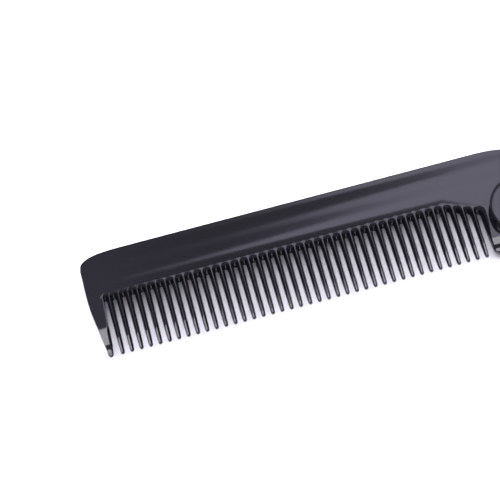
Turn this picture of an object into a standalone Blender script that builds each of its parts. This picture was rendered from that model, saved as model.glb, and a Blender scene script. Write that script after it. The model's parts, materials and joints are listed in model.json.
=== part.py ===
# Folding comb lying flat on its handle: a toothed blade that swings out of a slotted handle on a rivet.
# X runs along the comb, the teeth point to -Y and Z is the thickness. Lengths are in metres.
# Each piece is drawn about the hinge: x to the right, y towards the back edge of the blade.

import math

import bmesh
import bpy
from mathutils import Vector

MM = 0.001

# Blade, measured from the hinge
BLADE_REACH = 106.2 * MM
BACK_EDGE = 17.15 * MM
TIP_LINE = -9.35 * MM
BLADE_THICK = 4.0 * MM
SPINE_DEPTH = 11.1 * MM
EDGE_DRAFT = 0.45 * MM
CORNER_DROP = 2.6 * MM
CORNER_EASE = 2.4 * MM
FALL_START = -6.2 * MM
FALL_RADIUS = 34.0 * MM
SHOULDER = 6.0 * MM
NOSE_RADIUS = 8.6 * MM

# Teeth
TEETH = 40
PITCH = 2.304 * MM
FIRST_TOOTH = 5.32 * MM
ROOT_WIDTH = 1.56 * MM
TIP_WIDTH = 1.08 * MM
TOOTH_DRAFT = 0.35 * MM
WEB_DEPTH = 0.9 * MM
WEB_HALF = 0.6 * MM
FACET_LENGTH = 3.6 * MM
GUARD_FACET = 5.8 * MM
GUARD_LEFT = -9.05 * MM
GUARD_RIGHT = -6.4 * MM
LAST_GAP = -9.85 * MM
TIP_ROUND = 0.45 * MM
TIP_HALF = 0.5 * MM
LOW_ROOT_START = -17.4 * MM
LOW_ROOT_END = -9.5 * MM
LOW_ROOT_DROP = 3.1 * MM

# Handle and rivet
HANDLE_REACH = 109.4 * MM
HANDLE_THICK = 8.2 * MM
CHEEK = 1.8 * MM
END_RADIUS = 7.3 * MM
HANDLE_BACK = 13.2 * MM
WALL = 1.8 * MM
END_WALL = 2.0 * MM
BACK_START = 7.0 * MM
FLARE_ANGLE = math.radians(38)
HANDLE_CORNER = 6.0 * MM
HANDLE_CHAMFER = 0.6 * MM
GAP = 0.3 * MM
PIN_RADIUS = 2.2 * MM
CAP_RADIUS = 7.3 * MM
CAP_THICK = 0.8 * MM
HEAD_RADIUS = 4.0 * MM
HEAD_THICK = 0.6 * MM
HEAD_INSET = 0.2 * MM
ROUND_SIDES = 40

HALF = BLADE_THICK / 2
LOWER_EDGE = -END_RADIUS
MID_Z = HANDLE_THICK / 2
# The whole model is centred over the origin
HINGE = Vector(((BLADE_REACH - HANDLE_REACH) / 2, -(BACK_EDGE + TIP_LINE) / 2, 0.0))


def clear_scene():
    for item in list(bpy.data.objects):
        bpy.data.objects.remove(item)


def plastic(name, colour, roughness):
    material = bpy.data.materials.new(name)
    material.use_nodes = True
    shader = material.node_tree.nodes["Principled BSDF"]
    shader.inputs["Base Color"].default_value = (*colour, 1.0)
    shader.inputs["Roughness"].default_value = roughness
    shader.inputs["Metallic"].default_value = 0.0
    return material


def add_object(name, bm, material, location):
    bmesh.ops.recalc_face_normals(bm, faces=bm.faces)
    mesh = bpy.data.meshes.new(name)
    bm.to_mesh(mesh)
    bm.free()
    mesh.materials.append(material)
    mesh.shade_smooth()
    mesh.set_sharp_from_angle(angle=math.radians(30))
    item = bpy.data.objects.new(name, mesh)
    item.location = location
    bpy.context.scene.collection.objects.link(item)
    return item


def back_edge(x):
    # The back edge eases into the outer corner and falls away beside the hinge
    y = BACK_EDGE - CORNER_DROP * math.exp(-(x + BLADE_REACH) / CORNER_EASE)
    if x > FALL_START:
        y -= (x - FALL_START) ** 2 / (2 * FALL_RADIUS)
    return y


def root_line(x):
    # The roots run level, then drop beside the hinge
    part = (x - LOW_ROOT_START) / (LOW_ROOT_END - LOW_ROOT_START)
    return BACK_EDGE - SPINE_DEPTH - LOW_ROOT_DROP * min(max(part, 0.0), 1.0)


def spine_points(x):
    # Back edge, crease and root of one line across the spine: x, y, half thickness, edge draft
    root = root_line(x)
    return [
        (x, back_edge(x) - EDGE_DRAFT, HALF, EDGE_DRAFT),
        (x, root + 2.4 * MM, HALF, 0.0),
        (x, root, HALF - 0.25 * MM, 0.0),
    ]


def gap_line(x):
    # The middle of a gap ends in a thin web a little below the root
    y = root_line(x) - WEB_DEPTH + 0.4 * MM
    return spine_points(x) + [(x, y, WEB_HALF, TOOTH_DRAFT / 2)]


def tooth_lines(centre):
    # Left side, ridge and right side of one tooth, narrowing and thinning towards the tip
    web = root_line(centre) - WEB_DEPTH
    facet = TIP_LINE + FACET_LENGTH
    rows = (
        (web, HALF - 0.4 * MM),
        ((web + facet) / 2, HALF - 0.65 * MM),
        (facet, HALF - 0.9 * MM),
        (TIP_LINE + TOOTH_DRAFT + TIP_ROUND, TIP_HALF),
    )
    lines = []
    for side in (-1, 0, 1):
        root_x = centre + side * (ROOT_WIDTH / 2 - TOOTH_DRAFT)
        line = [(root_x, y, half, draft) for _, y, half, draft in spine_points(centre)]
        for y, half in rows:
            part = (web - y) / (web - TIP_LINE)
            width = ROOT_WIDTH + (TIP_WIDTH - ROOT_WIDTH) * part
            line.append((centre + side * (width / 2 - TOOTH_DRAFT), y, half, TOOTH_DRAFT))
        if side == 0:
            x, y, half, draft = line[-1]
            line[-1] = (x, y - TIP_ROUND, half, draft)
        lines.append(line)
    return lines


def outer_guard_lines():
    # The wide outermost tooth: its outer side leans in below the spine
    end = -BLADE_REACH
    top = back_edge(end + 1.0 * MM)
    root = root_line(end)
    web = root - WEB_DEPTH
    tip = TIP_LINE
    outer = [
        (end + EDGE_DRAFT, top - 1.6 * MM, HALF, EDGE_DRAFT),
        (end + EDGE_DRAFT, root + 2.4 * MM, HALF, EDGE_DRAFT),
        (end + EDGE_DRAFT + 0.05 * MM, root, HALF - 0.15 * MM, EDGE_DRAFT),
        (end + EDGE_DRAFT + 0.1 * MM, web, HALF - 0.2 * MM, EDGE_DRAFT),
        (end + EDGE_DRAFT + 0.65 * MM, tip + 9.0 * MM, HALF - 0.25 * MM, EDGE_DRAFT),
        (end + EDGE_DRAFT + 1.05 * MM, tip + GUARD_FACET, HALF - 0.5 * MM, EDGE_DRAFT),
        (end + EDGE_DRAFT + 1.7 * MM, tip + 1.4 * MM, TIP_HALF + 0.4 * MM, EDGE_DRAFT),
    ]
    inner = [
        (end + 3.7 * MM, y, half, TOOTH_DRAFT) for _, y, half, _ in outer
    ]
    lean = (0.0, 0.0, 0.0, 0.05 * MM, 0.35 * MM, 0.5 * MM, 0.85 * MM)
    inner = [(x - lean[i], y, half, draft) for i, (x, y, half, draft) in enumerate(inner)]
    inner[0] = (inner[0][0], back_edge(inner[0][0]) - EDGE_DRAFT, HALF, EDGE_DRAFT)
    middle = [
        ((a[0] + b[0]) / 2, a[1], a[2], EDGE_DRAFT) for a, b in zip(outer, inner)
    ]
    middle[0] = (middle[0][0], back_edge(middle[0][0]) - EDGE_DRAFT, HALF, EDGE_DRAFT)
    x, y, half, draft = middle[-1]
    middle[-1] = (x, tip + EDGE_DRAFT, half, draft)
    corner = [
        ((a[0] + b[0]) / 2, a[1], a[2], EDGE_DRAFT) for a, b in zip(outer, middle)
    ]
    x = end + EDGE_DRAFT + 0.4 * MM
    corner[0] = (x, back_edge(x) - EDGE_DRAFT - 0.25 * MM, HALF, EDGE_DRAFT)
    x, y, half, draft = corner[-1]
    corner[-1] = (x, tip + EDGE_DRAFT + 0.3 * MM, half, draft)
    return [outer, corner, middle, inner]


def heel_lines():
    # The inner guard tooth and the flat round end that the rivet passes through
    lines = []
    for x, lean, lift in ((GUARD_LEFT, 0.35 * MM, 1.1 * MM), (GUARD_RIGHT, 0.0, 0.0)):
        web = root_line(x) - WEB_DEPTH
        tip = TIP_LINE + EDGE_DRAFT + lift
        middle = (web + tip) / 2
        line = [(x, y, HALF, draft) for _, y, _, draft in spine_points(x)]
        line += [(x, web, HALF - 0.1 * MM, TOOTH_DRAFT), (x, middle, HALF - 0.25 * MM, TOOTH_DRAFT)]
        line += [(x + lean / 2, tip + FACET_LENGTH / 3, HALF - 0.8 * MM, TOOTH_DRAFT)]
        line += [(x + lean, tip, TIP_HALF + 0.4 * MM, EDGE_DRAFT)]
        lines.append(line)
    nose = NOSE_RADIUS - EDGE_DRAFT
    to_tip = -TIP_LINE - EDGE_DRAFT - nose
    for x in (-2.9 * MM, 0.0, 3.0 * MM):
        top = back_edge(x) - EDGE_DRAFT
        # Below the hinge the edge sinks from the round end to the guard's tip
        bottom = -math.sqrt(nose * nose - x * x) if x > 0 else -nose - to_tip * (x / GUARD_RIGHT) ** 2
        lines.append([(x, top + (bottom - top) * row / 6, HALF, EDGE_DRAFT) for row in range(7)])
    x = SHOULDER - EDGE_DRAFT
    start = math.asin(math.sqrt(1 - (x / nose) ** 2))
    last = [(x, back_edge(x) - EDGE_DRAFT, HALF, EDGE_DRAFT)]
    last.append((x, (last[0][1] + nose * math.sin(start)) / 2, HALF, EDGE_DRAFT))
    for step in range(5):
        angle = start + (math.radians(-55) - start) * step / 4
        last.append((nose * math.cos(angle), nose * math.sin(angle), HALF, EDGE_DRAFT))
    lines.append(last)
    return lines


def blade_lines():
    lines = outer_guard_lines()
    first = -BLADE_REACH + FIRST_TOOTH
    lines.append(gap_line(first - PITCH / 2 + 0.1 * MM))
    for number in range(TEETH):
        centre = first + number * PITCH
        lines += tooth_lines(centre)
        if number < TEETH - 1:
            lines.append(gap_line(centre + PITCH / 2))
    lines.append(gap_line(LAST_GAP))
    return lines + heel_lines()


def rim_offsets(flat_faces, points):
    # How far each rim point moves outwards: square to its two rim edges, by its own draft
    edges = {}
    for face in flat_faces:
        for i, start in enumerate(face):
            edges[(start, face[(i + 1) % len(face)])] = True
    rim = {a: b for a, b in edges if (b, a) not in edges}
    before = {b: a for a, b in rim.items()}
    offsets = {}
    for point in rim:
        x, y, _, draft = points[point]
        ahead = Vector(points[rim[point]][:2]) - Vector((x, y))
        behind = Vector((x, y)) - Vector(points[before[point]][:2])
        normals = [Vector((run.y, -run.x)).normalized() for run in (ahead, behind)]
        middle = normals[0] + normals[1]
        offsets[point] = middle * draft / max(1.0 + normals[0].dot(normals[1]), 0.5)
    return rim, offsets


def drafted_plate(lines):
    # Equal faces above and below the middle plane, joined by sides that lean out to it
    points = [point for line in lines for point in line]
    starts = [sum(len(line) for line in lines[:i]) for i in range(len(lines))]
    flat_faces = []
    for i in range(len(lines) - 1):
        a, b = starts[i], starts[i + 1]
        for row in range(min(len(lines[i]), len(lines[i + 1])) - 1):
            flat_faces.append((a + row + 1, b + row + 1, b + row, a + row))
    rim, offsets = rim_offsets(flat_faces, points)
    bm = bmesh.new()
    upper = [bm.verts.new((x, y, half)) for x, y, half, _ in points]
    lower = [bm.verts.new((x, y, -half)) for x, y, half, _ in points]
    outer = {}
    for i, move in offsets.items():
        # No tip reaches past the tip line
        outer[i] = bm.verts.new((points[i][0] + move.x, max(points[i][1] + move.y, TIP_LINE), 0.0))
    for face in flat_faces:
        bm.faces.new([upper[i] for i in face])
        bm.faces.new([lower[i] for i in reversed(face)])
    for a, b in rim.items():
        bm.faces.new((upper[b], upper[a], outer[a], outer[b]))
        bm.faces.new((outer[b], outer[a], lower[a], lower[b]))
    bmesh.ops.triangulate(bm, faces=bm.faces)
    return bm


def arc(centre_x, centre_y, radius, start, end, steps):
    points = []
    for step in range(steps + 1):
        angle = math.radians(start + (end - start) * step / steps)
        points.append((centre_x + radius * math.cos(angle), centre_y + radius * math.sin(angle)))
    return points


def handle_outline(inset):
    # Round at the hinge, flaring up to a straight back, with a rounded far end
    radius = END_RADIUS - inset
    back = HANDLE_BACK - inset
    reach = HANDLE_REACH - inset
    corner = HANDLE_CORNER - inset
    leave = 90 + math.degrees(FLARE_ANGLE)
    points = arc(0, 0, radius, leave, 270, 14)
    points += arc(reach - corner, -radius + corner, corner, -90, 0, 8)
    points += arc(reach - corner, back - corner, corner, 0, 90, 8)
    rise = back - radius * math.sin(math.radians(leave))
    top_x = radius * math.cos(math.radians(leave)) + rise / math.tan(FLARE_ANGLE)
    ease = 1.5 * MM
    points.append((top_x + ease, back))
    points.append((top_x - ease * 0.1, back - ease * 0.35))
    points.append((top_x - ease * math.cos(FLARE_ANGLE), back - ease * math.sin(FLARE_ANGLE)))
    return points


def stacked_outlines(levels):
    # One closed body through equal outlines, each a list of points and a height, bottom first
    bm = bmesh.new()
    rings = [[bm.verts.new((x, y, z)) for x, y in points] for points, z in levels]
    count = len(rings[0])
    for low, high in zip(rings, rings[1:]):
        for i in range(count):
            j = (i + 1) % count
            bm.faces.new((low[i], low[j], high[j], high[i]))
    bm.faces.new(list(reversed(rings[0])))
    bm.faces.new(rings[-1])
    return bm


def turned(profile):
    # A round piece about the hinge axis from radius and height pairs, bottom first
    levels = [(arc(0, 0, radius, 0, 360 - 360 / ROUND_SIDES, ROUND_SIDES - 1), z) for radius, z in profile]
    return stacked_outlines(levels)


def cut(item, bm, name):
    cutter = add_object(name, bm, item.data.materials[0], item.location)
    cutter.hide_render = True
    cutter.display_type = "WIRE"
    modifier = item.modifiers.new(name, "BOOLEAN")
    modifier.operation = "DIFFERENCE"
    modifier.solver = "EXACT"
    modifier.object = cutter


def make_blade(material):
    place = HINGE + Vector((0, 0, MID_Z))
    blade = add_object("comb_blade", drafted_plate(blade_lines()), material, place)
    hole = PIN_RADIUS + GAP
    cut(blade, turned([(hole, -BLADE_THICK), (hole, BLADE_THICK)]), "blade_hole")
    return blade


def slot_outline():
    # Open at the hinge and along the lower edge, closed by the back wall and the end wall
    inner_back = HANDLE_BACK - WALL
    inner_end = HANDLE_REACH - END_WALL
    corner = HANDLE_CORNER - END_WALL
    points = [(-END_RADIUS * 2, LOWER_EDGE * 2), (inner_end, LOWER_EDGE * 2)]
    points += arc(inner_end - corner, inner_back - corner, corner, 0, 90, 8)
    points += [(BACK_START, inner_back), (BACK_START, HANDLE_BACK * 2), (-END_RADIUS * 2, HANDLE_BACK * 2)]
    return points


def make_handle(material):
    full = handle_outline(0.0)
    narrow = handle_outline(HANDLE_CHAMFER)
    levels = [
        (narrow, 0.0),
        (full, HANDLE_CHAMFER),
        (full, HANDLE_THICK - HANDLE_CHAMFER),
        (narrow, HANDLE_THICK),
    ]
    handle = add_object("handle", stacked_outlines(levels), material, HINGE)
    slot = [(slot_outline(), CHEEK), (slot_outline(), HANDLE_THICK - CHEEK)]
    cut(handle, stacked_outlines(slot), "handle_slot")
    hole = PIN_RADIUS + GAP
    cut(handle, turned([(hole, -HANDLE_THICK), (hole, HANDLE_THICK * 2)]), "handle_hole")
    recess = HEAD_RADIUS + GAP
    depth = HEAD_INSET + HEAD_THICK + GAP
    cut(handle, turned([(recess, -HANDLE_THICK), (recess, depth)]), "handle_recess")
    return handle


def make_rivet(material):
    head_top = HEAD_INSET + HEAD_THICK
    cap_base = HANDLE_THICK + GAP
    profile = [
        (HEAD_RADIUS - 0.2 * MM, HEAD_INSET),
        (HEAD_RADIUS, HEAD_INSET + 0.2 * MM),
        (HEAD_RADIUS, head_top),
        (PIN_RADIUS, head_top),
        (PIN_RADIUS, cap_base),
        (CAP_RADIUS, cap_base),
        (CAP_RADIUS, cap_base + CAP_THICK - 0.3 * MM),
        (CAP_RADIUS - 0.35 * MM, cap_base + CAP_THICK),
    ]
    return add_object("pivot_rivet", turned(profile), material, HINGE)


clear_scene()
black = plastic("black_plastic", (0.012, 0.012, 0.014), 0.22)
black_handle = plastic("black_handle_plastic", (0.011, 0.011, 0.013), 0.26)
black_rivet = plastic("black_rivet_plastic", (0.014, 0.014, 0.016), 0.2)
make_blade(black)
make_handle(black_handle)
make_rivet(black_rivet)
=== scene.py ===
import json
import math

import bmesh
import bpy
import numpy as np
from mathutils import Matrix, Vector


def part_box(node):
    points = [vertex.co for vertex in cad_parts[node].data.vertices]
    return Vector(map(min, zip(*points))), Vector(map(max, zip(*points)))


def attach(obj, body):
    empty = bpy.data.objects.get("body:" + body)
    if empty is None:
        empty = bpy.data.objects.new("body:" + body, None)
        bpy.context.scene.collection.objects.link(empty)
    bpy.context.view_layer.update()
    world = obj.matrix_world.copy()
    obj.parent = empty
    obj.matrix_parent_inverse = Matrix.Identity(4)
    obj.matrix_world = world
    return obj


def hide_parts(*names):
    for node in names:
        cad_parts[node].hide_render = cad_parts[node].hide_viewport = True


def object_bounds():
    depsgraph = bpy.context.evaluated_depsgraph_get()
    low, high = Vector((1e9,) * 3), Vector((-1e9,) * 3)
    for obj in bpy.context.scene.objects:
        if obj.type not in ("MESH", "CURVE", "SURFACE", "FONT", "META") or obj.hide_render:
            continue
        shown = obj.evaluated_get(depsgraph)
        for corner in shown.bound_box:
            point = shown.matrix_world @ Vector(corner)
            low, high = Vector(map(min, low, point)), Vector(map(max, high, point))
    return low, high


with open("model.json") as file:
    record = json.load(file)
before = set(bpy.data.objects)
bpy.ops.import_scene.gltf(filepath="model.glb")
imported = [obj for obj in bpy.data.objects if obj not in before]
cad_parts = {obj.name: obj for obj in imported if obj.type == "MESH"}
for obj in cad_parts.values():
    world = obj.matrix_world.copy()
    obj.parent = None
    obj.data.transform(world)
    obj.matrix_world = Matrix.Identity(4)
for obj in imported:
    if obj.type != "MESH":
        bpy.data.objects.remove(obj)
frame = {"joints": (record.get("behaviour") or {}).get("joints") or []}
cadBox = [list(corner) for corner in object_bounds()]

# All shapes are worked out in millimetres about the hinge: x to the handle, y to the back edge and z up from
# mid thickness
mm = 0.001
hinge = Vector(frame["joints"][0]["pos_m"]) / mm
bladeLow, bladeHigh = [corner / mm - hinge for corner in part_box("comb_blade")]
rivetLow, rivetHigh = [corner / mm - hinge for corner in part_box("pivot_rivet")]
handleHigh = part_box("handle")[1] / mm - hinge
floorZ = cadBox[0][2]            # in metres


def roundProfile(part, power=2.3):
    # Superellipse quarter (1 - (1 - q)^power)^(1/power): 0 at the rim, 1 once the rim's width is passed
    q = np.clip(part, 0.0, 1.0)
    return (1.0 - (1.0 - q) ** power) ** (1.0 / power)


def rimSteps(count):
    # Positions across a rounded rim, 1 less the cosine of even angles: closer towards its steep outer side
    return 1.0 - np.cos(np.linspace(0.0, math.pi / 2, count))


def smoothStep(low, high, value):
    # Cubic 3q^2 - 2q^3 that rises from 0 at low to 1 at high
    q = np.clip((value - low) / (high - low), 0.0, 1.0)
    return q * q * (3.0 - 2.0 * q)


def shares(values):
    # Rising values as shares of the way from the first to the last
    return (values - values[0]) / (values[-1] - values[0])


def gridFaces(rows, columns, start=0, flip=False):
    # Quads of a rows x columns grid whose points are stored row by row
    r, c = np.meshgrid(np.arange(rows - 1), np.arange(columns - 1), indexing="ij")
    corner = (start + r * columns + c).ravel()
    quads = np.stack([corner, corner + 1, corner + columns + 1, corner + columns], 1)
    return quads[:, ::-1] if flip else quads


def ringFaces(rows, count):
    # Quads between rings of count points, each ring closed on itself and stored below the next
    at = np.arange(count)
    follow = (at + 1) % count
    ring = np.stack([at, follow, follow + count, at + count], 1)
    return np.vstack([ring + row * count for row in range(rows - 1)])


def lineSteps(line):
    # Length along a line up to each of its points
    return np.r_[0.0, np.cumsum(np.linalg.norm(np.diff(line, axis=0), axis=1))]


def resample(line, parts):
    # Points at given shares of a line's length
    steps = lineSteps(line)
    at = np.asarray(parts) * steps[-1]
    return np.stack([np.interp(at, steps, line[:, k]) for k in range(line.shape[1])], 1)


def arcPoints(x, y, radius, start, end, count):
    # Circle's arc about x, y: radius times the cosine and sine of even angles in degrees
    angle = np.radians(np.linspace(start, end, count))
    return np.stack([x + radius * np.cos(angle), y + radius * np.sin(angle)], 1)


def curvePoints(points, count, fineness=24):
    # Catmull-Rom curve through a few points: a cubic of t for each stretch, then evenly sampled
    p = np.asarray(points, float)
    p = np.vstack([2 * p[0] - p[1], p, 2 * p[-1] - p[-2]])
    pieces = []
    t = np.linspace(0.0, 1.0, fineness, endpoint=False)[:, None]
    for a, b, c, d in zip(p, p[1:], p[2:], p[3:]):
        square = (2 * a - 5 * b + 4 * c - d) * t ** 2
        cube = (3 * b - a - 3 * c + d) * t ** 3
        pieces.append(0.5 * (2 * b + (c - a) * t + square + cube))
    line = np.vstack(pieces + [p[-2][None]])
    return resample(line, np.linspace(0.0, 1.0, count))


def distanceTo(line, x, y):
    # Shortest distance from each plan point to an open outline: to the foot on each stretch, then the least
    a, b = line[:-1], line[1:]
    run = b - a
    p = np.stack([x, y], -1)[..., None, :]
    share = np.clip(((p - a) * run).sum(-1) / (run * run).sum(-1), 0.0, 1.0)
    return np.linalg.norm(p - (a + share[..., None] * run), axis=-1).min(-1)


def blendEdges(bottom, top, left, right):
    # Fills a four-sided outline: each inner point is the mix of both pairs of sides less the corners' mix

    def meanShares(first, second):
        # Share of the length at each point, averaged over two opposite sides
        a, b = lineSteps(first), lineSteps(second)
        return (a / a[-1] + b / b[-1]) / 2

    u = meanShares(bottom, top)[None, :, None]
    v = meanShares(left, right)[:, None, None]
    across = left[:, None, :] * (1 - u) + right[:, None, :] * u
    along = bottom[None, :, :] * (1 - v) + top[None, :, :] * v
    corners = (bottom[0] * (1 - u) + bottom[-1] * u) * (1 - v) + (top[0] * (1 - u) + top[-1] * u) * v
    return across + along - corners


def closeMesh(mesh, distance=2e-6):
    # Joins points closer than the distance in metres, drops flattened faces and turns every face outwards
    bm = bmesh.new()
    bm.from_mesh(mesh)
    bmesh.ops.remove_doubles(bm, verts=bm.verts, dist=distance)
    bmesh.ops.dissolve_degenerate(bm, edges=bm.edges, dist=distance / 2)
    bmesh.ops.recalc_face_normals(bm, faces=bm.faces)
    bm.to_mesh(mesh)
    bm.free()


def meshObject(name, points, faces, smoothAngle):
    # Points in millimetres about the hinge become a mesh in metres in the frame's own place
    world = (np.asarray(points, float) + np.asarray(hinge, float)) * mm
    mesh = bpy.data.meshes.new(name)
    mesh.from_pydata(world.tolist(), [], [tuple(int(i) for i in face) for face in faces])
    mesh.update()
    item = bpy.data.objects.new(name, mesh)
    bpy.context.scene.collection.objects.link(item)
    closeMesh(mesh)
    mesh.shade_smooth()
    mesh.set_sharp_from_angle(angle=math.radians(smoothAngle))
    return item


def turnedPiece(name, profile, sides, smoothAngle=40):
    # Radius and height pairs carried once round the hinge's axis, closed at both ends by a point on it
    r, z = np.array(profile, float).T
    angle = np.linspace(0.0, 2 * math.pi, sides, endpoint=False)
    x, y = r[:, None] * np.cos(angle), r[:, None] * np.sin(angle)
    ring = np.stack([x, y, np.repeat(z[:, None], sides, 1)], -1)
    points = np.concatenate([ring.reshape(-1, 3), [[0.0, 0.0, z[0]], [0.0, 0.0, z[-1]]]])
    at = np.arange(sides)
    follow = (at + 1) % sides
    bottom, top = len(points) - 2, len(points) - 1
    last = (len(r) - 1) * sides
    faces = ringFaces(len(r), sides).tolist()
    faces += np.stack([np.full(sides, bottom), follow, at], 1).tolist()
    faces += np.stack([np.full(sides, top), last + at, last + follow], 1).tolist()
    return meshObject(name, points, faces, smoothAngle)


def stackedPiece(name, levels, smoothAngle=40):
    # Outlines of equally many points, each at its own height, joined in order and closed by flat ends
    count = len(levels[0][0])
    points = np.vstack([np.c_[line, np.full(count, z)] for line, z in levels])
    at = np.arange(count)
    faces = ringFaces(len(levels), count).tolist()
    faces.append(at[::-1].tolist())
    faces.append((at + (len(levels) - 1) * count).tolist())
    return meshObject(name, points, faces, smoothAngle)


def cutAway(item, cutters, smoothAngle):
    # Cuts the closed cutters out of a piece, keeps the cut mesh with crisp cuts and clears the cutters away
    for cutter in cutters:
        modifier = item.modifiers.new(cutter.name, "BOOLEAN")
        modifier.operation = "DIFFERENCE"
        modifier.solver = "EXACT"
        modifier.object = cutter
    graph = bpy.context.evaluated_depsgraph_get()
    cut = bpy.data.meshes.new_from_object(item.evaluated_get(graph))
    cut.name = item.name
    closeMesh(cut)
    cut.set_sharp_from_angle(angle=math.radians(smoothAngle))
    item.modifiers.clear()
    item.data = cut
    for cutter in cutters:
        bpy.data.objects.remove(cutter)


blade = {
    "toothCount": 40,
    "pitch": 2.304,
    # Centres of the teeth: the first two from the outer end, the inner guard's from the hinge
    "firstTooth": 5.32,
    "guardTooth": 2.05,
    "heelTooth": -7.6,
    # Where the guards' forms pass into the fine teeth's, from the outer end and from the hinge
    "guardEnd": (3.2, 4.6),
    "heelStart": (-10.4, -9.2),
    "toothHeight": 15.4,         # height of the roots above the tips in the table for the fine teeth
    "spineDepth": 11.0,          # back edge to the root line
    "creaseUp": 0.4,             # the face's last level row above the roots
    "webDepth": 1.15,            # roots on the face to the open end of a gap
    "legDrop": 0.5,              # open end of a gap to the straight part of its teeth
    "lowRootStart": -17.4,       # the roots slope down over the last teeth
    "lowRootEnd": -9.5,
    "lowRootDrop": 3.1,
    # Superellipse arches over a gap: the face's edge, and the narrower middle
    "faceArchPower": 3.6,
    "middleArchPower": 2.2,
    "middleArchLift": 0.45,
    # The outer corner: how far the back edge falls and how soon, then points inwards from the end and down
    # from the back line
    "cornerDrop": 2.5,
    "cornerEase": 2.4,
    "cornerTurn": [(0.0, 5.0), (0.07, 3.5), (0.42, 2.25)],
    "cornerBack": 1.0,           # where the corner meets the back edge
    # The end at the hinge: the back edge's fall, the corner after it, the round nose with its last angles in
    # degrees, and points from there to the inner guard's tip
    "fallStart": -6.2,
    "fallRadius": 34.0,
    "shoulder": 6.0,
    "noseRadius": 8.6,
    "noseAngles": (-58.0, -92.0),
    "heelTurn": [(-2.0, -8.68), (-4.0, -8.95), (-6.0, -9.27), (-7.0, -9.345)],
    # Share of the round end's width over which the inner guard's thin tip passes into the plain rim
    "heelEase": 0.2,
    "holeRadius": 2.5,
    "faceDrop": 0.06,            # the face before its ripples, below half the thickness
    "rim": 0.14,                 # width of the rounded back edge
    "support": 0.06,             # a row just inside the rim keeps the face evenly shaded
    # How far the ridge sinks below the face, against the height above the tips
    "fineSink": [(0.0, 1.35), (4.0, 0.84), (15.4, 0.0)],
    "guardSink": [(0.0, 1.5), (1.5, 1.38), (2.9, 0.68), (7.14, 0.07), (15.4, 0.0)],
    "heelSink": [(0.0, 1.1), (1.2, 0.95), (2.1, 0.36), (3.8, 0.04), (15.4, 0.0)],
    # Slopes of the spine's face in degrees, against the distance from the back edge and from the roots
    "backSlope": [
        (0.0, -0.8), (1.2, -0.7), (1.6, 0.0), (2.0, 0.03), (2.4, 0.15), (2.9, 0.2), (3.3, 0.12), (3.6, -0.05),
        (3.95, -0.25), (4.4, -0.45), (4.67, -0.52), (4.95, -0.4), (5.5, -0.3), (5.8, -0.12), (6.3, -0.02),
        (6.8, 0.06), (7.3, 0.0), (7.85, -0.25), (8.15, -0.52), (8.6, -0.62), (8.9, -0.5), (9.2, -0.15),
        (9.5, 0.05), (30.0, 0.05),
    ],
    "rootSlope": [(0.0, 1.1), (0.5, 1.05), (1.07, 0.8), (1.6, 0.25), (2.1, 0.0), (30.0, 0.0)],
    "smoothAngle": 50,
}

# Sides of the teeth: height above the tips, half widths of the ridge and of the middle, fall of the slope
toothSides = {
    "fineLeft": [
        (0.0, 0.17, 0.48, 0.93), (1.35, 0.18, 0.56, 0.93), (3.3, 0.18, 0.63, 0.93), (4.5, 0.08, 0.65, 0.93),
        (7.5, 0.03, 0.665, 0.93), (11.1, 0.04, 0.73, 0.93), (13.1, 0.09, 0.75, 0.93),
        (15.4, 0.11, 0.775, 0.93), (19.0, 0.12, 0.78, 0.93),
    ],
    "fineRight": [
        (0.0, 0.12, 0.45, 0.93), (1.35, 0.14, 0.53, 0.93), (3.3, 0.14, 0.6, 0.93), (4.5, 0.04, 0.62, 0.93),
        (7.5, 0.03, 0.665, 0.93), (11.1, 0.04, 0.73, 0.93), (13.1, 0.08, 0.75, 0.93),
        (15.4, 0.11, 0.775, 0.93), (19.0, 0.12, 0.78, 0.93),
    ],
    "guardLeft": [
        (0.0, 0.45, 0.66, 0.93), (1.85, 0.5, 0.76, 0.93), (3.0, 0.65, 0.95, 0.93), (4.9, 0.82, 1.15, 0.93),
        (6.85, 1.0, 1.33, 0.93), (9.5, 1.25, 1.6, 0.93), (12.1, 1.5, 1.88, 0.93), (13.4, 1.6, 1.94, 0.93),
        (14.7, 1.7, 2.03, 0.93), (19.0, 1.7, 2.05, 0.93),
    ],
    "guardRight": [
        (0.0, 0.0, 0.66, 0.7), (1.85, 0.05, 0.76, 0.7), (3.0, 0.2, 0.95, 0.6), (4.9, 0.42, 1.15, 0.6),
        (6.65, 0.6, 1.31, 0.6), (7.4, 1.15, 1.38, 0.9), (9.5, 1.42, 1.6, 0.93), (12.1, 1.7, 1.88, 0.93),
        (13.4, 1.76, 1.94, 0.93), (14.7, 1.85, 2.03, 0.93), (19.0, 1.85, 2.05, 0.93),
    ],
    "heel": [
        (0.0, 1.1, 1.5, 0.93), (1.5, 1.15, 1.53, 0.93), (2.35, 1.25, 1.63, 0.93), (4.05, 1.3, 1.74, 0.93),
        (6.3, 0.95, 1.83, 0.93), (8.5, 0.6, 1.83, 0.93), (12.5, 0.5, 1.83, 0.93), (19.0, 0.6, 1.83, 0.93),
    ],
}

# How the teeth lean and bend: sideways moves against the height above the tips, heights where the ridge
# bends, and the tips' rounding across and in thickness
toothForms = {
    "guardLean": [(0.0, 0.4), (3.0, 0.4), (4.9, 0.3), (6.85, 0.22), (9.5, 0.1), (12.1, 0.0), (19.0, 0.0)],
    "still": [(0.0, 0.0), (1.0, 0.0)],
    "tipShift": (-0.16, 0.02),   # sideways place of the first and the last fine tooth's ridge near the tips
    "shiftShare": [(0.0, 1.0), (3.3, 1.0), (4.5, 0.0), (19.0, 0.0)],   # share of it against the height
    "fine": {"breaks": (4.0,), "tipRadius": 0.47, "tipRim": 0.5},
    "guard": {"breaks": (2.9, 7.14), "tipRadius": 0.8, "tipRim": 0.7},
    "heel": {"breaks": (2.1, 3.8), "tipRadius": 1.5, "tipRim": 0.7},
}

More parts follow.
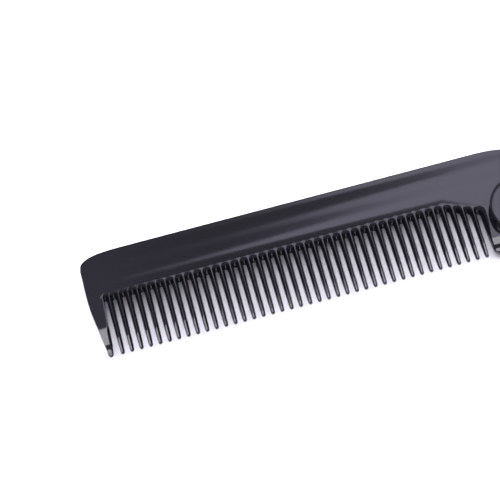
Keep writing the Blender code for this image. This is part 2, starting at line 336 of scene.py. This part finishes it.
# Half a tooth's cross-section, from its centre line to mid thickness: shares of the ridge, slope and wall
crossRidge = np.array([0.0, 0.6, 0.88, 0.96, 1.0, 1.0, 1.0, 1.0, 1.0, 1.0, 1.0])
crossSlope = np.array([0.0, 0.0, 0.0, 0.01, 0.07, 0.25, 0.45, 0.65, 0.83, 1.0, 1.0])
crossFall = crossSlope ** 1.6    # gentle beside the ridge and steep lower down
crossWall = np.array([0.0] * 10 + [1.0])
lastFace = 4                     # the column at the ridge's outer edge
archShare = (0.0, 0.6, 0.9, 0.95, 1.0)   # how far each column up to that one follows the arch over a gap
rootFall = 0.93                  # how far the slope falls at the roots
breakGap = 0.06                  # two close rows keep a break in the ridge crisp

# Rows and columns of the blade's grids
gridRows = {"tip": 7, "break": 4, "leg": 7, "up": 4, "across": 9, "rim": 7}
guardColumns = np.array([0.0, 0.25, 0.45, 0.6, 0.74, 0.86, 0.95, 1.0])
endColumns = np.r_[np.linspace(0.0, 0.9, 13), 0.93, 0.96, 0.98, 0.993, 1.0]
# Distances of the spine's rows below the back edge, closer where its face ripples
spineRowsDown = np.array([
    9.8, 9.6, 9.3, 9.0, 8.7, 8.45, 8.2, 7.95, 7.7, 7.45, 7.2, 6.95, 6.7, 6.2, 5.7, 5.45, 5.2, 4.8, 4.4, 4.1,
    3.7, 3.35, 3.15, 3.0, 2.6, 2.1, 1.6, 1.3, 1.1, 0.95, 0.75,
])
# Points along the blade's curves, and the corner's point between its side and its top
curveCounts = {
    "corner": 160, "back": 500, "nose": 120, "heel": 60, "shoulder": 10, "roundEnd": 60, "under": 30,
}
cornerSplit = 104
holeSides = 64

reach = -bladeLow.x
backLine = bladeHigh.y
tipLine = bladeLow.y
halfThick = bladeHigh.z


def backEdge(x):
    # The level back edge less an exponential fall into the outer corner and a circular fall at the hinge
    y = backLine - blade["cornerDrop"] * np.exp(-(x + reach) / blade["cornerEase"])
    fall = np.maximum(x - blade["fallStart"], 0.0)
    return y - fall ** 2 / (2 * blade["fallRadius"])


def rootLine(x):
    # Level roots that slope down in a straight line over the last teeth
    part = np.clip((x - blade["lowRootStart"]) / (blade["lowRootEnd"] - blade["lowRootStart"]), 0.0, 1.0)
    return backLine - blade["spineDepth"] - blade["lowRootDrop"] * part


def creaseLine(x):
    # The root line moved up by a constant
    return rootLine(x) + blade["creaseUp"]


def slopeSum(slopes, distance):
    # Height gained up to each distance: the running sum of the slopes' tangents times the step
    at, slope = np.array(slopes).T
    steps = np.linspace(0.0, at[-1], 1201)
    height = np.cumsum(np.tan(np.radians(np.interp(steps, at, slope)))) * (steps[1] - steps[0])
    return np.interp(distance, steps, height)


def bladeHeight(x, y):
    # Half thickness: the face with its faint ripples less what the teeth sink by towards their tips. A smooth
    # share of x passes from the fine teeth's sink to each guard's
    root = rootLine(x)
    fromBack = np.minimum(backLine - y, backLine - root)
    fromRoot = np.maximum(y - root, 0.0)
    ripple = slopeSum(blade["backSlope"], np.maximum(fromBack, 0.0)) - slopeSum(blade["rootSlope"], fromRoot)
    up = (y - tipLine) * blade["toothHeight"] / (root - tipLine)
    fine = np.interp(up, *np.array(blade["fineSink"]).T)
    guard = np.interp(y - tipLine, *np.array(blade["guardSink"]).T)
    heel = np.interp(y - tipLine, *np.array(blade["heelSink"]).T)
    guardShare = 1.0 - smoothStep(blade["guardEnd"][0] - reach, blade["guardEnd"][1] - reach, x)
    heelShare = smoothStep(*blade["heelStart"], x)
    sink = fine + (guard - fine) * guardShare + (heel - fine) * heelShare
    return halfThick - blade["faceDrop"] + ripple - sink


def tooth(centre, form, left, right, lean, shift):
    # One upright: lean moves the whole of it sideways against the height, and shift moves its ridge alone
    return {
        "centre": centre, "left": np.array(left).T, "right": np.array(right).T,
        "lean": np.array(lean).T, "shift": np.array(shift).T, **toothForms[form],
    }


def uprights():
    # The outer guard, the fine teeth at an even pitch and the inner guard, from left to right
    still = toothForms["still"]
    guard = (toothSides["guardLeft"], toothSides["guardRight"], toothForms["guardLean"], still)
    teeth = [tooth(blade["guardTooth"] - reach, "guard", *guard)]
    for number in range(blade["toothCount"]):
        centre = -reach + blade["firstTooth"] + number * blade["pitch"]
        off = np.interp(number, (0, blade["toothCount"] - 1), toothForms["tipShift"])
        shift = [(height, off * share) for height, share in toothForms["shiftShare"]]
        teeth.append(tooth(centre, "fine", toothSides["fineLeft"], toothSides["fineRight"], still, shift))
    teeth.append(tooth(blade["heelTooth"], "heel", toothSides["heel"], toothSides["heel"], still, still))
    return teeth


def legTop(item):
    # Height where a tooth's straight part ends and the arches over its gaps begin
    return float(rootLine(item["centre"])) - blade["webDepth"] - blade["legDrop"]


def legPlaces(item):
    # Heights up one tooth: close together round the tip, then evenly from break to break and up the leg
    r = item["tipRadius"]
    angle = np.linspace(0.0, math.pi / 2, gridRows["tip"])
    places = [tipLine + r - r * np.cos(angle)]
    for rise in item["breaks"]:
        at = tipLine + rise
        places.append(np.linspace(places[-1][-1], at - breakGap, gridRows["break"] + 1)[1:])
        places.append(np.array([at + breakGap]))
    places.append(np.linspace(places[-1][-1], legTop(item), gridRows["leg"] + 1)[1:])
    return np.concatenate(places)


def guardPlaces(item):
    # Heights up a guard tooth, from its tip on to the crease
    up = np.linspace(legTop(item), float(creaseLine(item["centre"])), gridRows["up"] + 1)[1:]
    return np.concatenate([legPlaces(item), up])


def closing(item, y):
    # Circle that rounds the tip across, and the rim's profile that rounds it in thickness
    r = item["tipRadius"]
    q = np.clip((tipLine + r - y) / r, 0.0, 1.0)
    return np.sqrt(1.0 - q ** 2), roundProfile((y - tipLine) / item["tipRim"])


def legGrid(item, side, y):
    # One side of a tooth as a grid: rows up the tooth, columns from the centre line out to mid thickness. A
    # point lies as far out as its shares of the ridge and the slope, and falls by a power of the slope's share
    rise, *columns = item["left"] if side < 0 else item["right"]
    ridgeHalf, middleHalf, fall = (np.interp(y - tipLine, rise, column)[:, None] for column in columns)
    centre = item["centre"] + np.interp(y - tipLine, *item["lean"])
    narrow, low = closing(item, y)
    across = (crossRidge * ridgeHalf + crossSlope * (middleHalf - ridgeHalf)) * narrow[:, None]
    shift = np.interp(y - tipLine, *item["shift"]) * narrow
    x = centre[:, None] + side * across + shift[:, None] * (1 - crossSlope)
    yy = np.repeat(y[:, None], len(crossRidge), 1)
    sunk = (1 - fall * crossFall) * (1 - crossWall)
    z = bladeHeight(np.full_like(yy, item["centre"]), yy) * low[:, None] * sunk
    return np.stack([x, yy, z], -1)


def archPoints(x0, x1, spring, lift, power, angle):
    # Superellipse from x0 to x1: half the width times |cos|^(2/power) across, lift times |sin|^(2/power) up
    cos, sin = np.cos(angle), np.sin(angle)
    x = (x0 + x1) / 2 - (x1 - x0) / 2 * np.sign(cos) * np.abs(cos) ** (2 / power)
    return np.stack([x, spring + lift * np.abs(sin) ** (2 / power)], 1)


def gapGrid(leftTooth, rightTooth):
    # The surface round one gap: up the left tooth, round the arch and down the right tooth. The arch's
    # columns mix a square path on the face with the face's arch, then that with the arch at mid thickness
    left = legGrid(leftTooth, 1, legPlaces(leftTooth))
    right = legGrid(rightTooth, -1, legPlaces(rightTooth))[::-1]
    x0, x1 = leftTooth["centre"], rightTooth["centre"]
    y0, y1 = left[-1, 0, 1], right[0, 0, 1]
    c0, c1 = float(creaseLine(x0)), float(creaseLine(x1))
    # Square path: up to the crease, along it and down again
    up = np.linspace(0.0, 1.0, gridRows["up"] + 1)
    along = np.linspace(0.0, 1.0, gridRows["across"] + 1)[1:]
    xs = x0 + (x1 - x0) * along
    square = np.concatenate([
        np.stack([np.full_like(up, x0), y0 + (c0 - y0) * up], 1),
        np.stack([xs, creaseLine(xs)], 1),
        np.stack([np.full_like(up, x1), c1 + (y1 - c1) * up], 1)[1:],
    ])
    count = len(square)
    angle = np.linspace(0.0, math.pi, count)
    spring = y0 + (y1 - y0) * (1 - np.cos(angle)) / 2
    faceArch = archPoints(left[-1, lastFace, 0], right[0, lastFace, 0], spring,
                          blade["webDepth"] + blade["legDrop"], blade["faceArchPower"], angle)
    middleArch = archPoints(left[-1, -1, 0], right[0, -1, 0], spring,
                            blade["middleArchLift"], blade["middleArchPower"], angle)
    fix = np.linspace(0.0, 1.0, count)[:, None]
    grid = np.zeros((count, len(crossRidge), 3))
    for column in range(len(crossRidge)):
        if column <= lastFace:
            w = archShare[column]
            plan = square * (1 - w) + faceArch * w
        else:
            w = (crossSlope[column] - crossSlope[lastFace]) / (1.0 - crossSlope[lastFace])
            plan = faceArch * (1 - w) + middleArch * w
        # Ease the ends of the arch onto the legs exactly
        ends = left[-1, column, :2], right[0, column, :2]
        plan = plan + (ends[0] - plan[0]) * (1 - fix) ** 4 + (ends[1] - plan[-1]) * fix ** 4
        grid[:, column, :2] = plan
        high = bladeHeight(plan[:, 0], plan[:, 1])
        if column > lastFace:
            high = grid[:, lastFace, 2] / (1 - rootFall * crossFall[lastFace])
        grid[:, column, 2] = high * (1 - rootFall * crossFall[column]) * (1 - crossWall[column])
    grid[0], grid[-1] = left[-1], right[0]
    return np.concatenate([left[:-1], grid, right[1:]])


def noseArc(start, end, count):
    # The round end about the hinge, between two angles in degrees
    return arcPoints(0.0, 0.0, blade["noseRadius"], start, end, count)


def noseAngleAt(y):
    # Angle in degrees at which the round end reaches a height: the arc sine of height over radius
    return math.degrees(math.asin(y / blade["noseRadius"]))


def shoulderAngle():
    # Angle in degrees at which the round end reaches the shoulder: the arc cosine of its x over the radius
    return math.degrees(math.acos(blade["shoulder"] / blade["noseRadius"]))


def bladeOutline(guardSide, heel):
    # The corner's curve, the curve to the inner guard's tip, and the open outline from the outer guard's tip
    # round the corner, along the back edge and round the hinge to the inner guard's tip
    end = -reach
    guardX = blade["guardTooth"] - reach
    turn = [(end + inwards, backLine - down) for inwards, down in blade["cornerTurn"]]
    meet = [(x, backEdge(x)) for x in (end + blade["cornerBack"], guardX)]
    corner = curvePoints([guardSide[-1], *turn, *meet], curveCounts["corner"])
    corner[:, 0] = np.maximum(corner[:, 0], end)
    backX = np.linspace(guardX, blade["shoulder"], curveCounts["back"])
    back = np.stack([backX, backEdge(backX)], 1)
    nose = noseArc(shoulderAngle(), blade["noseAngles"][1], curveCounts["nose"])
    heelLine = curvePoints([nose[-1], *blade["heelTurn"], (heel["centre"], tipLine)], curveCounts["heel"])
    heelLine[:, 1] = np.maximum(heelLine[:, 1], tipLine)
    return corner, heelLine, np.vstack([guardSide, corner[1:], back[1:], nose, heelLine[1:]])


def lift(plan, outline, rims, most=1.0):
    # Height: the face's times the rounded rim's, held to a share at the tips and to nothing along the rims
    # themselves
    x, y = plan[..., 0], plan[..., 1]
    near = distanceTo(outline, x, y)
    high = bladeHeight(x, y) * np.minimum(roundProfile(near / blade["rim"]), most)
    for rim in rims:
        high[rim] = 0.0
    return np.concatenate([plan, high[..., None]], -1)


def guardPatch(guard, guardSide, outline):
    # Guard's outer side from its tip to the crease: shares of the way from its centre line to its side
    y = guardPlaces(guard)
    centre = guard["centre"] + np.interp(y - tipLine, *guard["lean"])
    x = centre[:, None] + (guardSide[:, 0] - centre)[:, None] * guardColumns
    plan = np.stack([x, np.repeat(y[:, None], len(guardColumns), 1)], -1)
    return lift(plan, outline, [np.s_[:, -1]], closing(guard, y)[1][:, None])


def spinePatch(teeth, outline):
    # Spine over the teeth: rows at shares of the way from the crease to the back edge, then across the rim
    gaps = [np.linspace(a["centre"], b["centre"], gridRows["across"] + 1) for a, b in zip(teeth, teeth[1:])]
    x = np.concatenate([gaps[0]] + [xs[1:] for xs in gaps[1:]])
    low, top = creaseLine(x), backEdge(x)
    inside = top - blade["rim"]
    face = low + (top - low) * (1 - spineRowsDown / spineRowsDown[0])[:, None]
    rim = inside + (top - inside) * (1 - rimSteps(gridRows["rim"])[::-1])[:, None]
    y = np.concatenate([face, inside[None] - blade["support"], rim])
    return lift(np.stack([np.repeat(x[None], len(y), 0), y], -1), outline, [np.s_[-1]])


def cornerPatch(guardCrease, corner, spineSide, outline):
    # Outer corner: between the guard's crease, the first column of the spine and the rounded corner
    left = resample(corner[:cornerSplit], shares(spineSide[:, 1]))
    top = resample(corner[cornerSplit - 1:], 1 - guardColumns[::-1])
    return lift(blendEdges(guardCrease, top, left, spineSide), outline, [np.s_[:, 0], np.s_[-1]])


def shoulderPatch(heel, spineSide, outline):
    # Face beside the hinge, from the inner guard to the shoulder
    creaseY = float(creaseLine(heel["centre"]))
    shoulder = blade["shoulder"]
    creaseEnd = math.sqrt(blade["noseRadius"] ** 2 - creaseY ** 2)
    bottomX = heel["centre"] + (creaseEnd - heel["centre"]) * endColumns
    bottom = np.stack([bottomX, np.full(len(endColumns), creaseY)], 1)
    topX = heel["centre"] + (shoulder - heel["centre"]) * endColumns
    top = np.stack([topX, backEdge(topX)], 1)
    arc = noseArc(noseAngleAt(creaseY), shoulderAngle(), curveCounts["shoulder"])
    right = resample(np.vstack([arc, [[shoulder, float(backEdge(shoulder))]]]), shares(spineSide[:, 1]))
    return lift(blendEdges(bottom, top, spineSide, right), outline, [np.s_[-1], np.s_[:, -1]])


def roundEndPatch(heel, crease, heelLine, outline):
    # Round end below the crease, down to the nose and the inner guard's tip
    y = guardPlaces(heel)
    left = np.stack([np.full(len(y), heel["centre"]), y], 1)
    turn, noseEnd = blade["noseAngles"]
    right = resample(noseArc(turn, noseAngleAt(y[-1]), curveCounts["roundEnd"]), shares(y))
    under = noseArc(noseEnd, turn, curveCounts["under"])
    bottom = resample(np.vstack([heelLine[::-1], under[1:]]), endColumns)
    low = closing(heel, y)[1][:, None]
    most = low + (1 - low) * smoothStep(0.0, blade["heelEase"], endColumns)
    return lift(blendEdges(bottom, crease, left, right), outline, [np.s_[0], np.s_[:, -1]], most)


def bladeSurface():
    # All patches of the upper half of the blade, each a grid of points that shares its borders with the next
    teeth = uprights()
    guard, heel = teeth[0], teeth[-1]
    guardSide = legGrid(guard, -1, guardPlaces(guard))[:, -1, :2]
    corner, heelLine, outline = bladeOutline(guardSide, heel)
    guardFace = guardPatch(guard, guardSide, outline)[:, ::-1]
    spine = spinePatch(teeth, outline)
    cornerFace = cornerPatch(guardFace[-1, :, :2], corner, spine[:, 0, :2], outline)
    shoulderFace = shoulderPatch(heel, spine[:, -1, :2], outline)
    roundEnd = roundEndPatch(heel, shoulderFace[0, :, :2], heelLine, outline)
    gaps = [gapGrid(a, b) for a, b in zip(teeth, teeth[1:])]
    return gaps + [guardFace, spine, cornerFace, shoulderFace, roundEnd]


def bladePiece():
    # Both halves mirror each other at mid thickness, and the rivet's hole is cut through them
    points, faces, start = [], [], 0
    for grid in bladeSurface():
        rows, columns = grid.shape[:2]
        flat = grid.reshape(-1, 3)
        for mirror in (1.0, -1.0):
            points.append(flat * (1.0, 1.0, mirror))
            faces.append(gridFaces(rows, columns, start, mirror < 0))
            start += len(flat)
    item = meshObject("combBlade", np.vstack(points), np.vstack(faces), blade["smoothAngle"])
    past = 2 * halfThick
    hole = turnedPiece("bladeHole", [(blade["holeRadius"], -past), (blade["holeRadius"], past)], holeSides)
    cutAway(item, [hole], blade["smoothAngle"])
    return item


handle = {
    "cheek": 1.8,
    "endRadius": 7.3,
    "wall": 1.8,
    "endWall": 2.0,
    "corner": 6.0,
    "flare": 38.0,               # degrees between the back and its slope down to the round end
    "flareEase": 2.2,            # how far the bend between them reaches
    "backStart": 7.0,            # where the back wall begins
    "edge": 0.7,                 # rounding of the outer edges
    "support": 0.2,
    "holeRadius": 2.5,
    "recessRadius": 4.3,
    "recessDepth": 1.1,
    # How far the cutters reach beyond the piece: at the hinge and below, above, and up and down through it
    "cutPast": 14.0,
    "cutAbove": 30.0,
    "cutHalf": 9.0,
    # Points round the end, along each straight, round each corner, in the bend and across the rounded edge
    "counts": {"end": 40, "straight": 40, "corner": 14, "bend": 9, "edge": 7},
    "smoothAngle": 40,
}


def handleOutline(inset):
    # Round end, straight lower edge, rounded far end, straight back and the flare down to the round end, all
    # moved inwards. The bend into the flare is a parabola (1-t)^2 a + 2t(1-t) b + t^2 c
    radius = handle["endRadius"] - inset
    back = handleHigh.y - inset
    far = handleHigh.x - inset
    corner = handle["corner"] - inset
    leave = 90 + handle["flare"]
    tilt = math.radians(handle["flare"])
    leaveX, leaveY = radius * math.cos(math.radians(leave)), radius * math.sin(math.radians(leave))
    topX = leaveX + (back - leaveY) / math.tan(tilt)
    ease = handle["flareEase"]
    count = handle["counts"]
    t = np.linspace(0.0, 1.0, count["bend"])[:, None]
    a = np.array([[topX + ease, back]])
    b = np.array([[topX, back]])
    c = np.array([[topX - ease * math.cos(tilt), back - ease * math.sin(tilt)]])
    turn = (1 - t) ** 2 * a + 2 * t * (1 - t) * b + t ** 2 * c
    lowerX = np.linspace(0, far - corner, count["straight"])[1:-1]
    upperX = np.linspace(far - corner, topX + ease, count["straight"])[1:-1]
    return np.vstack([
        arcPoints(0, 0, radius, leave, 270, count["end"]),
        np.stack([lowerX, np.full_like(lowerX, -radius)], 1),
        arcPoints(far - corner, -radius + corner, corner, -90, 0, count["corner"]),
        arcPoints(far - corner, back - corner, corner, 0, 90, count["corner"]),
        np.stack([upperX, np.full_like(upperX, back)], 1),
        turn,
    ])


def handlePiece():
    # The outline stacked from cheek to cheek with rounded edges, less the slot, the shaft's hole and the
    # head's recess
    half = handleHigh.z
    edge = handle["edge"]
    # A ring just inside the rounded edge keeps the flat cheeks evenly shaded
    lower = [(handleOutline(edge + handle["support"]), -half)]
    for angle in np.linspace(0.0, math.pi / 2, handle["counts"]["edge"]):
        lower.append((handleOutline(edge * (1 - math.sin(angle))), -half + edge * (1 - math.cos(angle))))
    upper = [(line, -z) for line, z in lower[::-1]]
    item = stackedPiece("handleShell", lower + upper)
    inner = half - handle["cheek"]
    innerBack = handleHigh.y - handle["wall"]
    innerEnd = handleHigh.x - handle["endWall"]
    corner = handle["corner"] - handle["endWall"]
    hole, recess = handle["holeRadius"], handle["recessRadius"]
    past, above, deep = handle["cutPast"], handle["cutAbove"], handle["cutHalf"]
    slot = np.vstack([
        [(-past, -past), (innerEnd, -past)],
        arcPoints(innerEnd - corner, innerBack - corner, corner, 0, 90, handle["counts"]["corner"]),
        [(handle["backStart"], innerBack), (handle["backStart"], above), (-past, above)],
    ])
    recessTop = -half + handle["recessDepth"]
    cutAway(item, [
        stackedPiece("handleSlot", [(slot, -inner), (slot, inner)]),
        turnedPiece("handleHole", [(hole, -deep), (hole, deep)], holeSides),
        turnedPiece("handleRecess", [(recess, -deep), (recess, recessTop)], holeSides),
    ], handle["smoothAngle"])
    return item


rivet = {
    "pinRadius": 2.2,
    "capRadius": 7.5,
    "capEdge": 0.45,             # rounding of the cap
    "capFlat": 1.0,              # a ring this far inside the cap's rim keeps its top evenly shaded
    "capSides": 128,
    "headRadius": 4.0,
    "headThick": 0.6,
    "headEdge": 0.2,
    "centreRing": 0.6,
    "gap": 0.3,                  # between the handle and the cap
}


def rivetPiece():
    # Head, shaft and cap as one turned profile, with a quarter circle round the cap's edge
    under = handleHigh.z + rivet["gap"]
    top, bottom = rivetHigh.z, rivetLow.z
    headTop = bottom + rivet["headThick"]
    head, headEdge = rivet["headRadius"], rivet["headEdge"]
    cap, edge = rivet["capRadius"], rivet["capEdge"]
    profile = [(rivet["centreRing"], bottom), (head - headEdge, bottom), (head, bottom + headEdge)]
    profile += [(head, headTop), (rivet["pinRadius"], headTop), (rivet["pinRadius"], under), (cap, under)]
    for angle in np.linspace(0.0, math.pi / 2, 6):
        profile.append((cap - edge * (1 - math.cos(angle)), top - edge + edge * math.sin(angle)))
    profile += [(cap - rivet["capFlat"], top), (rivet["centreRing"], top)]
    return turnedPiece("rivetCap", profile, rivet["capSides"])


# The black plastic of all three pieces: scales of the tint, the gloss and the grain, and the tint's colours
blackPlastic = {
    "ior": 1.5, "stretch": (0.35, 1.0, 1.0), "tintScale": 90.0, "glossScale": 60.0, "grainScale": 2500.0,
    "dark": (0.0032, 0.0031, 0.0042), "light": (0.0046, 0.0045, 0.006),
}

finish = {
    "blade": {
        **blackPlastic, "roughness": (0.05, 0.1), "waveHeight": 0.005, "waveScale": 130.0, "waveDetail": 3.0,
        "grainHeight": 0.0001,
    },
    "handle": {
        **blackPlastic, "roughness": (0.12, 0.18), "waveHeight": 0.02, "waveScale": 50.0, "waveDetail": 1.0,
        "grainHeight": 0.0005,
    },
    "rivet": {
        **blackPlastic, "roughness": (0.10, 0.15), "waveHeight": 0.01, "waveScale": 80.0, "waveDetail": 1.0,
        "grainHeight": 0.0004, "stretch": (1.0, 1.0, 1.0), "dark": (0.0034, 0.0033, 0.0042),
        "light": (0.005, 0.0049, 0.006),
    },
}


def plastic(name, values):
    # Moulded black plastic: faint flow waves, a fine grain and patchy gloss
    material = bpy.data.materials.new(name)
    material.use_nodes = True
    nodes, links = material.node_tree.nodes, material.node_tree.links
    shader = nodes["Principled BSDF"]
    shader.inputs["Metallic"].default_value = 0.0
    shader.inputs["IOR"].default_value = values["ior"]
    shader.inputs["Coat Weight"].default_value = 0.0
    place = nodes.new("ShaderNodeTexCoord").outputs["Object"]
    stretch = nodes.new("ShaderNodeMapping")
    stretch.inputs["Scale"].default_value = values["stretch"]
    links.new(place, stretch.inputs["Vector"])
    stretched = stretch.outputs["Vector"]

    def noise(scale, detail, source):
        # Blender's noise, read at the given coordinates
        made = nodes.new("ShaderNodeTexNoise")
        made.inputs["Scale"].default_value = scale
        made.inputs["Detail"].default_value = detail
        links.new(source, made.inputs["Vector"])
        return made.outputs["Fac"]

    def bump(height, source):
        # Tilts the normal as if the source raised the surface by up to the height in millimetres
        made = nodes.new("ShaderNodeBump")
        made.inputs["Strength"].default_value = 1.0
        made.inputs["Distance"].default_value = height * mm
        links.new(source, made.inputs["Height"])
        return made

    tint = nodes.new("ShaderNodeMix")
    tint.data_type = "RGBA"
    tint.inputs["A"].default_value = (*values["dark"], 1)
    tint.inputs["B"].default_value = (*values["light"], 1)
    links.new(noise(values["tintScale"], 3.0, place), tint.inputs["Factor"])
    links.new(tint.outputs["Result"], shader.inputs["Base Color"])

    gloss = nodes.new("ShaderNodeMapRange")
    gloss.inputs["To Min"].default_value, gloss.inputs["To Max"].default_value = values["roughness"]
    links.new(noise(values["glossScale"], 4.0, stretched), gloss.inputs["Value"])
    links.new(gloss.outputs["Result"], shader.inputs["Roughness"])

    waves = bump(values["waveHeight"], noise(values["waveScale"], values["waveDetail"], stretched))
    grain = bump(values["grainHeight"], noise(values["grainScale"], 2.0, place))
    links.new(waves.outputs["Normal"], grain.inputs["Normal"])
    links.new(grain.outputs["Normal"], shader.inputs["Normal"])
    return material


def dress(item, materialName, values, body, node):
    # Gives a piece its plastic, hides the node it stands in for and hangs it on the body it rides on
    item.data.materials.clear()
    item.data.materials.append(plastic(materialName, values))
    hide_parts(node)
    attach(item, body)


dress(bladePiece(), "blackBlade", finish["blade"], "blade_body", "comb_blade")
print("blade made")
dress(handlePiece(), "blackHandle", finish["handle"], "handle_body", "handle")
print("handle made")
dress(rivetPiece(), "blackRivet", finish["rivet"], "handle_body", "pivot_rivet")
print("rivet made")


# The studio, in metres
studio = {
    "tableSize": 4.0,
    "tableColour": (0.79, 0.785, 0.785),
    "tableRoughness": 0.9,
    # Colour of the dim surroundings against the direction's x, left to right
    "sky": [
        (-0.5, (0.28, 0.28, 0.42)), (-0.03, (0.53, 0.49, 0.61)), (-0.012, (0.455, 0.42, 0.59)),
        (0.006, (0.30, 0.29, 0.345)), (0.03, (0.285, 0.28, 0.315)), (0.2, (0.35, 0.34, 0.40)),
        (0.5, (0.48, 0.42, 0.38)),
    ],
    "lampHeight": 0.6,
    # Level lamps: left corner of the far edge, its turn, the size, the brightness and the colour
    "panels": {
        "fillPanel": {
            "corner": (-0.1042, 0.2413), "turn": 11.7, "size": (0.9, 0.196), "glow": 2.45,
            "colour": (0.965, 0.93, 1.19),
        },
        "keyPanel": {
            "corner": (-0.3037, 0.0746), "turn": 3.9, "size": (0.9, 0.34), "glow": 7.0,
            "colour": (0.98, 0.97, 1.05),
        },
    },
    # A wide lamp behind that whitens the table but not under the spine, and stays out of the reflections
    "backPanel": {
        "place": (-0.3, 0.5, 0.6), "tilt": -40.0, "size": (0.7, 0.7), "glow": 7.2,
        "colour": (0.96, 0.955, 1.10),
    },
}


def tablePiece():
    # A flat square under the comb
    half = studio["tableSize"] / 2
    points = [(-half, -half, floorZ), (half, -half, floorZ), (half, half, floorZ), (-half, half, floorZ)]
    mesh = bpy.data.meshes.new("tableTop")
    mesh.from_pydata(points, [], [(0, 1, 2, 3)])
    item = bpy.data.objects.new("tableTop", mesh)
    bpy.context.scene.collection.objects.link(item)
    material = bpy.data.materials.new("whiteTable")
    material.use_nodes = True
    shader = material.node_tree.nodes["Principled BSDF"]
    shader.inputs["Base Color"].default_value = (*studio["tableColour"], 1)
    shader.inputs["Roughness"].default_value = studio["tableRoughness"]
    mesh.materials.append(material)


def skyLight():
    # Dim surroundings whose colour runs from left to right through the studio's stops
    world = bpy.data.worlds.new("studioWorld")
    world.use_nodes = True
    nodes, links = world.node_tree.nodes, world.node_tree.links
    place = nodes.new("ShaderNodeTexCoord")
    split = nodes.new("ShaderNodeSeparateXYZ")
    side = nodes.new("ShaderNodeMapRange")
    side.inputs["From Min"].default_value = -1.0
    sky = nodes.new("ShaderNodeValToRGB")
    stops = sky.color_ramp.elements
    for number, (at, colour) in enumerate(studio["sky"]):
        stop = stops[number] if number < 2 else stops.new((at + 1.0) / 2.0)
        stop.position = (at + 1.0) / 2.0
        stop.color = (*colour, 1.0)
    links.new(place.outputs["Generated"], split.inputs["Vector"])
    links.new(split.outputs["X"], side.inputs["Value"])
    links.new(side.outputs["Result"], sky.inputs["Fac"])
    links.new(sky.outputs["Color"], nodes["Background"].inputs["Color"])
    bpy.context.scene.world = world


def areaLamp(name, values):
    # A flat lamp whose power is its glow times pi and its area, so it looks as bright at any size
    lamp = bpy.data.lights.new(name, "AREA")
    lamp.shape = "RECTANGLE"
    lamp.size, lamp.size_y = values["size"]
    lamp.energy = values["glow"] * math.pi * lamp.size * lamp.size_y
    lamp.color = values["colour"]
    item = bpy.data.objects.new(name, lamp)
    bpy.context.scene.collection.objects.link(item)
    return item


def lamps():
    # Each panel's middle is its corner plus half its length along its turn and half its depth inwards
    for name, values in studio["panels"].items():
        item = areaLamp(name, values)
        turn = math.radians(values["turn"])
        length, depth = values["size"]
        along = Vector((math.cos(turn), math.sin(turn), 0.0)) * length
        inwards = Vector((math.sin(turn), -math.cos(turn), 0.0)) * depth
        item.location = Vector((*values["corner"], studio["lampHeight"])) + (along + inwards) / 2
        item.rotation_euler = (0.0, 0.0, turn)
    back = studio["backPanel"]
    item = areaLamp("backPanel", back)
    item.location = back["place"]
    item.rotation_euler = (math.radians(back["tilt"]), 0.0, 0.0)
    item.visible_glossy = False


view = {
    "azimuth": -6.97,
    "elevation": 66.4,
    "roll": -8.38,
    "aim": (-66.87, 4.02, 5.0),  # in millimetres, in the frame's own place
    "distance": 481.4,
    "focal": 144.0,
    "sensor": 36.0,
    "clip": (0.01, 20.0),        # in metres
}


def photoCamera():
    # Looks at the aim point from the azimuth and elevation, then rolls about its own axis
    az, el, roll = (math.radians(view[key]) for key in ("azimuth", "elevation", "roll"))
    forward = Vector((-math.sin(az) * math.cos(el), math.cos(az) * math.cos(el), -math.sin(el)))
    right = Vector((math.cos(az), math.sin(az), 0.0))
    up = right.cross(forward)
    rolledRight = right * math.cos(roll) + up * math.sin(roll)
    rolledUp = up * math.cos(roll) - right * math.sin(roll)
    camera = bpy.data.cameras.new("photoCamera")
    camera.lens = view["focal"]
    camera.sensor_width = view["sensor"]
    camera.clip_start, camera.clip_end = view["clip"]
    item = bpy.data.objects.new("photoCamera", camera)
    turn = Matrix((rolledRight, rolledUp, -forward)).transposed().to_4x4()
    turn.translation = (Vector(view["aim"]) - forward * view["distance"]) * mm
    item.matrix_world = turn
    bpy.context.scene.collection.objects.link(item)
    bpy.context.scene.camera = item


tablePiece()
skyLight()
lamps()
photoCamera()
bpy.context.scene.view_settings.view_transform = "Standard"
print("studio made")
